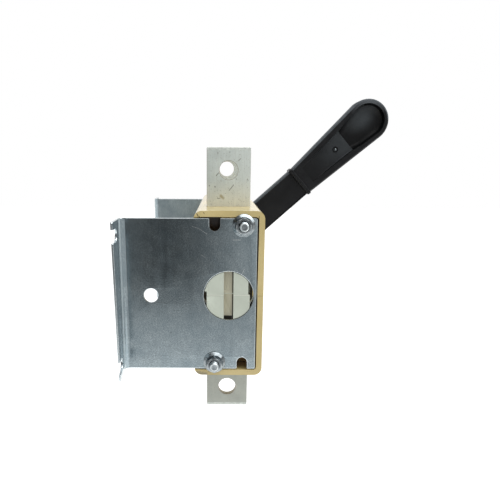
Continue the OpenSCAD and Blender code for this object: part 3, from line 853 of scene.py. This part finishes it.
# The hollow was spark eroded, so it scatters more light. Painted light turns it charcoal grey along
# the plateau, more so towards the step, and round the middle of the palm; painted shade makes the
# palm's lower side darkest.
eroded, tree, place = surface("spark_eroded_black_polyamide")
wear = cloud(tree, place, 14, 4)
pores = cloud(tree, place, 0.7, 2)
along, beside = on_grip(tree, place)
plateau = node(tree, "MapRange", {
    0: along, "From Min": RECESS_FROM + 8, "From Max": STEP_AT + 6, "To Min": 0.0, "To Max": 0.85,
}, interpolation_type="SMOOTHSTEP")
lengthwise = node(tree, "Math", {0: along, 1: PALM_AT}, operation="SUBTRACT")
lengthwise = node(tree, "Math", {0: lengthwise, 1: 0.62}, operation="MULTIPLY")
crosswise = node(tree, "Math", {0: beside, 1: PALM_RISE}, operation="SUBTRACT")
from_palm = node(tree, "CombineXYZ", {0: lengthwise, 1: crosswise})
from_palm = node(tree, "VectorMath", {0: from_palm}, operation="LENGTH").outputs["Value"]
palm = node(tree, "MapRange", {
    0: from_palm, "From Min": 3.0, "From Max": 18.5, "To Min": 1.0, "To Max": 0.0,
}, interpolation_type="SMOOTHSTEP")
in_palm = node(tree, "Math", {0: along, 1: STEP_AT + 0.3}, operation="GREATER_THAN")
painted_light_share = node(tree, "Mix", {0: in_palm, 2: plateau, 3: palm})
half_here = node(tree, "MapRange", {
    0: along, "From Min": GRIP_FROM, "From Max": GRIP_TIP_AT, "To Min": 10.0, "To Max": 21.0,
})
lower_side_painted_shade = node(tree, "Math", {0: beside, 1: half_here}, operation="DIVIDE")
lower_side_painted_shade = within(tree, (lower_side_painted_shade, -0.4, -0.8), in_palm)
dark = coated(tree, "#08090B", (wear, "#0D0F11"))
pale = coated(tree, "#2A2E31", (wear, "#33373A"))
# Painted light and painted shade over the dark ground.
colour = coated(tree, dark, (painted_light_share, pale), (lower_side_painted_shade, "#030405"))
finish_surface(tree, colour, 0.55, ((0.3, 0.04, pores),), Specular_IOR_Level=0.2)

# A dull grey painted highlight lies along the upper edges. A near-black copy with little gloss gives
# painted shade on the hollow's lower and tip walls, and the rivet's boss is made of it too.
upper_edge_painted_highlight = patchy("upper_edge_painted_highlight_polyamide", 6, 4, "#404447", "#4E5256", 0.5, Specular_IOR_Level=0.03)
painted_shade_black = patchy("painted_shade_black_polyamide", 14, 4, "#040506", "#070809", 0.5, Specular_IOR_Level=0.06)

arm_low, arm_high = corners("handle_arm")
grip_low, grip_high = corners("handle_grip")
COLLAR_LIP = 2.0
GRIP_NEAR = grip_low.x + COLLAR_LIP
GRIP_FAR = grip_high.x - COLLAR_LIP


def on_handle(x, s, t):
    """A point at x, s along the handle from the rotor axis and t across it."""
    return Vector((x, AXIS.y, AXIS.z)) + WAY * s + ACROSS * t


def smooth(x, low, high):
    """0 below low and 1 above high, with a smooth rise between them."""
    share = min(max((x - low) / (high - low), 0), 1)
    return share * share * (3 - 2 * share)


def arm():
    """The flat arm with its round end, a narrower neck into the collar, and rounded edges."""
    made = bmesh.new()
    half = ARM_W / 2
    neck = half - NECK_INSET
    thick = arm_high.x - arm_low.x
    bow = [math.pi * (0.5 + k / 48) for k in range(49)]
    body = [Vector((half * math.cos(a), half * math.sin(a))) for a in bow]
    body += rounded([(ARM_END, -half, 0.9), (ARM_END, half, 0.9), (0, half, 0)])[:-1]
    ends = ((NECK_FROM, -neck), (GRIP_FROM - 1, -neck), (GRIP_FROM - 1, neck), (NECK_FROM, neck))
    through = rounded([(s, t, 1.0) for s, t in ends])
    for part in (plate(body, [], thick, 2.2), plate(through, [], thick - 2 * NECK_INSET, 0.8)):
        for vert in part.verts:
            s, t, w = vert.co
            vert.co = on_handle((arm_low.x + arm_high.x) / 2 + w, s, t)
        bmesh.ops.recalc_face_normals(part, faces=part.faces)
        take_in(made, part)
    # The faces along the arm's upper edge take the painted highlight.
    for face in made.faces:
        t = (face.calc_center_median() - AXIS).dot(ACROSS)
        face.material_index = 1 if face.material_index == 1 and t > half - 2.3 else 0
    return made


def grip():
    """The grip: loops that shrink from its edge to its middle, on the hollow and the outer side."""
    straight = [GRIP_FROM - 1.5, GRIP_FROM + 3, RECESS_FROM - 4]
    straight += [RECESS_FROM - 2.5 + 1.25 * k for k in range(13)]
    straight += [straight[-1] + 3.1 * k for k in range(1, 16)]
    straight += [STEP_AT - 4 + 0.5 * k for k in range(17)]
    straight = sorted({round(s, 2) for s in straight if s < STEP_AT + 4.6})
    straight += [STEP_AT + 4.6 + (GRIP_TIP_AT - STEP_AT - 4.6) * k / 18 for k in range(19)]
    tip_steps = 48
    half = ARM_W / 2
    start = straight[0]

    def loop(tip_in, side_in, x_of):
        """One loop, drawn in by tip_in at the tip and side_in at the collar end."""
        r = GRIP_TIP_R - tip_in
        h = half - side_in
        pinch = PLATEAU_PINCH if tip_in > TIP_RIM - 2 else 0
        points = []
        for way in (1, -1):
            side = []
            for s in straight:
                share = (s - start) / (GRIP_TIP_AT - start)
                inward = smooth(s, RECESS_FROM, STEP_AT) - smooth(s, STEP_AT, STEP_AT + 14)
                inward *= pinch * h / (half - SIDE_RIM)
                side.append((s, way * (h + (r - h) * share - inward) + GRIP_RISE * share))
            points.append(side)
        bow = []
        for k in range(1, tip_steps):
            a = math.pi / 2 - math.pi * k / tip_steps
            bow.append((GRIP_TIP_AT + r * math.cos(a), GRIP_RISE + r * math.sin(a)))
        return [on_handle(x_of(s, t), s, t) for s, t in [*points[0], *bow, *points[1][::-1]]]

    def hollow(s, t, into):
        """Depth of the hollow at a point that lies into millimetres inside its edge."""
        shelf = PLATEAU_DEPTH * smooth(s, RECESS_FROM - 2.5, RECESS_FROM + 34)
        shelf += 1.1 * smooth(s, RECESS_FROM + 25, STEP_AT)
        floor = PALM_FLOOR + (PALM_DEPTH - PALM_FLOOR) * (1 - smooth(s, STEP_AT + 1, STEP_AT + 34))
        fall = smooth(s, STEP_AT, STEP_AT + 1.4)
        reach = 2.2 + (5.0 + 6.0 * smooth(t, -8, 10)) * fall
        share = min(max((into + 0.7) / (reach + 0.7), 0), 1)
        wall = (1 - (1 - share) ** 2.6) * smooth(share, 0, 0.16)
        return (shelf + (floor - shelf) * fall) * wall

    rim_steps = ((0, 0), (0.12, 0.12), (0.4, 0.4), (1.5, 1.5), (1.9, 1.9), (2.3, 2.3))
    drops = (2.2, 1.8, 1.4, 0.35, 0.1, 0.0)
    loops = [loop(a, b, lambda s, t, d=d: GRIP_NEAR + d) for (a, b), d in zip(rim_steps, drops)]
    loops.append(loop(TIP_RIM - 1.6, SIDE_RIM - 1.6, lambda s, t: GRIP_NEAR))
    hollow_from = len(loops)
    inner_tip, inner_side = GRIP_TIP_R - TIP_RIM, half - SIDE_RIM
    shares = [-0.045, -0.03, -0.015, 0, 0.015, 0.035, 0.06, 0.09]
    shares += [0.13, 0.18, 0.24, 0.31, 0.4, 0.52, 0.66, 0.82, 1]
    for q in shares:
        def depth(s, t, q=q):
            share = min(max((s - start) / (GRIP_TIP_AT - start), 0), 1)
            into = q * (inner_side + (inner_tip - inner_side) * share)
            return GRIP_NEAR + hollow(s, t, into)
        loops.append(loop(TIP_RIM + q * inner_tip, SIDE_RIM + q * inner_side, depth))
    outer = []
    crown = 7.0
    for k in range(8):
        a = math.pi / 2 * k / 7
        inset = crown * (1 - math.cos(a))
        outer.append(loop(inset, inset, lambda s, t, d=crown * (1 - math.sin(a)): GRIP_FAR - d))
    for q in (0.25, 0.5, 0.75, 1):
        tip_in, side_in = crown + q * (GRIP_TIP_R - crown), crown + q * (half - crown)
        outer.append(loop(tip_in, side_in, lambda s, t: GRIP_FAR))
    made = bmesh.new()
    rows = [[made.verts.new(point) for point in points] for points in loops[::-1] + outer]
    inner_rows = len(loops)
    for r, (first, second) in enumerate(zip(rows, rows[1:])):
        for i in range(len(first) - 1):
            face = made.faces.new((first[i], first[i + 1], second[i + 1], second[i]))
            column = min(i, len(first) - 2 - i)
            s_here = straight[column] if column < len(straight) else GRIP_TIP_AT
            t = (face.calc_center_median() - AXIS).dot(ACROSS)
            s = (face.calc_center_median() - AXIS).dot(WAY)
            # Hollow faces take the eroded finish, its lower and tip walls the painted shade, and the upper
            # rim the painted highlight.
            if r < inner_rows - hollow_from - 2 and s_here > RECESS_FROM:
                in_wall = r > inner_rows - hollow_from - (9 if s_here > STEP_AT else 6)
                shaded = t < -4 or s > GRIP_TIP_AT + 8
                face.material_index = 2 if in_wall and shaded else 1
            if inner_rows - 6 <= r < inner_rows and (t > 0 or s_here == GRIP_TIP_AT and t > -14):
                face.material_index = 3
    bmesh.ops.remove_doubles(made, verts=made.verts, dist=0.002)
    bmesh.ops.dissolve_degenerate(made, dist=0.001, edges=made.edges)
    ends = [e for e in made.edges if e.is_boundary]
    bmesh.ops.holes_fill(made, edges=ends)
    bmesh.ops.recalc_face_normals(made, faces=made.faces)
    return made


def collar():
    """The rounded band round the grip's inner end."""
    half_x = (grip_high.x - grip_low.x) / 2 - 0.7
    half_t = ARM_W / 2 + COLLAR_LIP - 0.3
    bends = ((-half_x, -half_t, 3.2), (half_x, -half_t, 5.0), (half_x, half_t, 5.0), (-half_x, half_t, 3.2))
    made = plate(rounded(bends), [], COLLAR_T, 1.45)
    for vert in made.verts:
        w, t, s = vert.co
        vert.co = on_handle((grip_low.x + grip_high.x) / 2 + w, COLLAR_FROM + COLLAR_T / 2 + s, t)
    bmesh.ops.recalc_face_normals(made, faces=made.faces)
    for face in made.faces:
        face.material_index = 0
    return made


for name, made, finishes, crease in (
    ("handle_hub", rounded_copy("handle_hub", 0.6), [black], 38),
    ("handle_arm", arm(), [black, upper_edge_painted_highlight], 38),
    ("handle_grip", grip(), [black, eroded, painted_shade_black, upper_edge_painted_highlight], 50),
):
    add_piece(name + "_moulding", made, "rotor_body", finishes, [name], crease)
add_piece("handle_collar", collar(), "rotor_body", [black])

# The grip's core is held by a plated steel rivet, sunk in a round boss in the recess. Each is
# turned from a profile of (height, radius).
BOSS = ((-1.0, 3.7), (0.3, 3.6), (0.5, 3.4), (0.5, 3.0), (0.2, 2.7), (-0.4, 2.6))
RIVET = ((-0.6, 1.25), (0.4, 1.2), (0.75, 0.9), (0.85, 0.5))
screw_low, screw_high = corners("handle_screw")
screw_at = (screw_low + screw_high) / 2
screw_at.x = GRIP_NEAR + PLATEAU_DEPTH + 0.45
# The boss takes the near-black used for painted shade.
for name, profile, steps, slot, finish, nodes in (
    ("handle_boss", BOSS, 40, "black_plastic", painted_shade_black, []),
    ("handle_rivet", RIVET, 24, "zinc_plated_fastener", bright_zinc, ["handle_screw"]),
):
    made = bmesh.new()
    skin(made, [ring(x, r, steps) for x, r in profile])
    add_piece(name, seat_on(made, screw_at, -1), "rotor_body", [finish], nodes)

# ---- Studio ----
# A matt white paper floor well below the switch, a white surround, two soft lamps, and a dark cloth
# and a black flag, which only shiny surfaces see: glowing sheets that give painted reflections.
# None of it is part of the switch.

FLOOR_Z = -0.6
FLOOR_HALF = 8.0


def hang(name, points, faces, material, mirrored_only=False):
    """Put up a sheet with its points in metres; mirrored_only hides it from all but reflections."""
    mesh = bpy.data.meshes.new(name)
    mesh.from_pydata(points, [], faces)
    mesh.materials.append(material)
    sheet = bpy.data.objects.new(name, mesh)
    bpy.context.scene.collection.objects.link(sheet)
    if mirrored_only:
        for ray in ("camera", "diffuse", "transmission", "shadow"):
            setattr(sheet, "visible_" + ray, False)


def seen_straight(tree):
    """1 for rays that come from the camera, a mirror or glass, and 0 for diffuse ones."""
    rays = node(tree, "LightPath").outputs
    seen = rays["Is Camera Ray"]
    for ray in ("Is Glossy Ray", "Is Transmission Ray"):
        seen = node(tree, "Math", {0: seen, 1: rays[ray]}, operation="MAXIMUM")
    return seen


# Uncoated paper scatters light evenly; its fibres show only as very faint clouds.
paper, tree, place = surface("matt_white_paper_floor")
matt = node(tree, "BsdfDiffuse", {"Color": coated(tree, "#EDEDEC", (cloud(tree, place, 60), "#F2F2F1"))})
glow = node(tree, "Emission", {"Color": linear("#FFFFFF"), "Strength": 0.55})
dark = node(tree, "Emission", {"Color": linear("#000000"), "Strength": 0.0})
lit = node(tree, "MixShader", {0: seen_straight(tree), 1: dark, 2: glow})
node(tree, "OutputMaterial", {"Surface": node(tree, "AddShader", {0: matt, 1: lit})})
floor_corners = [(x * FLOOR_HALF, y * FLOOR_HALF, FLOOR_Z) for x, y in ((-1, -1), (1, -1), (1, 1), (-1, 1))]
hang("paper_floor", floor_corners, [(0, 1, 2, 3)], paper)

# The cloth is a glowing sheet that gives painted reflections: darkest level with the switch, and
# painted grey where light would spill on it from the table below and from the window side in front.
CARD_X = -1.2
CARD_FRONT_X = 0.15
CARD_Y = (-1.5, 1.3)
CARD_Z = (-0.95, 0.95)
CARD_FRONT_TOP = 0.25
CLOTH_LEVEL = 0.09
reflection_glow, tree, place = surface("dark_studio_cloth")
folds = cloud(tree, place, 160, 2, low=-0.04, high=0.04)
spans = node(tree, "SeparateXYZ", {0: place}).outputs
table, window, below_sill, rear = [
    node(tree, "MapRange", {
        0: value, "From Min": low, "From Max": high, "To Min": 0.0, "To Max": top,
    }, interpolation_type="SMOOTHSTEP")
    for value, low, high, top in (
        (spans[2], -262, -430, 0.6), (spans[1], 40, -260, 0.62),
        (spans[2], 160, 20, 1.0), (spans[1], 170, 235, 0.16),
    )
]
level = table
for spill in (within(tree, window, below_sill), rear):
    level = node(tree, "Math", {0: level, 1: spill}, operation="MAXIMUM")
for more in (folds, CLOTH_LEVEL):
    level = node(tree, "Math", {0: level, 1: more}, operation="ADD")
grey = node(tree, "Emission", {"Color": linear("#FFFFFF"), "Strength": level})
node(tree, "OutputMaterial", {"Surface": grey})
cloth_folds = [(CARD_FRONT_X, CARD_Y[0], CARD_FRONT_TOP), *[(CARD_X, y, CARD_Z[1]) for y in CARD_Y]]
cloth_points = [point for x, y, z in cloth_folds for point in ((x, y, CARD_Z[0]), (x, y, z))]
hang("painted_reflection_sheet", cloth_points, [(0, 1, 3, 2), (2, 3, 5, 4)], reflection_glow, mirrored_only=True)

# A small black flag hangs on the wall side, above the switch. Felt takes up nearly all light, so
# it puts one dark patch into the round fasteners.
FLAG_Y = 0.34
felt, tree, place = surface("black_felt_flag")
nap = cloud(tree, place, 40, low=0.01, high=0.03)
glow = node(tree, "Emission", {"Color": linear("#FFFFFF"), "Strength": nap})
node(tree, "OutputMaterial", {"Surface": glow})
flag_corners = [(x, FLAG_Y, z) for x, z in ((-0.5, 0.1), (0.1, 0.1), (0.1, 0.9), (-0.5, 0.9))]
hang("black_flag", flag_corners, [(0, 1, 2, 3)], felt, mirrored_only=True)

world = bpy.data.worlds.new("white_surround")
bpy.context.scene.world = world
world.use_nodes = True
tree = world.node_tree
tree.nodes.clear()
level = node(tree, "MapRange", {0: seen_straight(tree), "To Min": 0.84, "To Max": 1.0})
sky = node(tree, "Background", {"Color": linear("#FFFFFF"), "Strength": level})
node(tree, "OutputWorld", {"Surface": sky})


def softbox(name, place, target, size, power):
    """A square area light at place, aimed at target, both in metres."""
    lamp = bpy.data.lights.new(name, "AREA")
    lamp.size = size
    lamp.energy = power
    box = bpy.data.objects.new(name, lamp)
    box.location = place
    box.rotation_mode = "QUATERNION"
    box.rotation_quaternion = (Vector(target) - Vector(place)).to_track_quat("-Z", "Y")
    bpy.context.scene.collection.objects.link(box)


middle = AXIS * MM
softbox("overhead", middle + Vector((-0.15, -0.25, 1.1)), middle, 1.0, 10)
softbox("front", middle + Vector((-0.3, -1.15, 0.95)), middle, 1.0, 8)

# The camera stands close to the left end, looks along the rotor and a little down.
lens = bpy.data.cameras.new("camera")
lens.sensor_width = 36.0
lens.lens = 35.93
lens.shift_x = 0.0629
lens.shift_y = 0.0551
camera = bpy.data.objects.new("camera", lens)
pitch, yaw, roll = math.radians(12.774), math.radians(-0.146), math.radians(0.243)
ahead = Vector((math.cos(pitch) * math.cos(yaw), -math.cos(pitch) * math.sin(yaw), -math.sin(pitch)))
right = Vector((-math.sin(yaw), -math.cos(yaw), 0))
up = right.cross(ahead)
turned = Matrix((
    math.cos(roll) * right + math.sin(roll) * up,
    math.cos(roll) * up - math.sin(roll) * right,
    -ahead,
)).transposed()
camera.matrix_world = Matrix.Translation((-0.39841, -0.08582, 0.11074)) @ turned.to_4x4()
bpy.context.scene.collection.objects.link(camera)
bpy.context.scene.camera = camera
bpy.context.scene.view_settings.view_transform = "Standard"
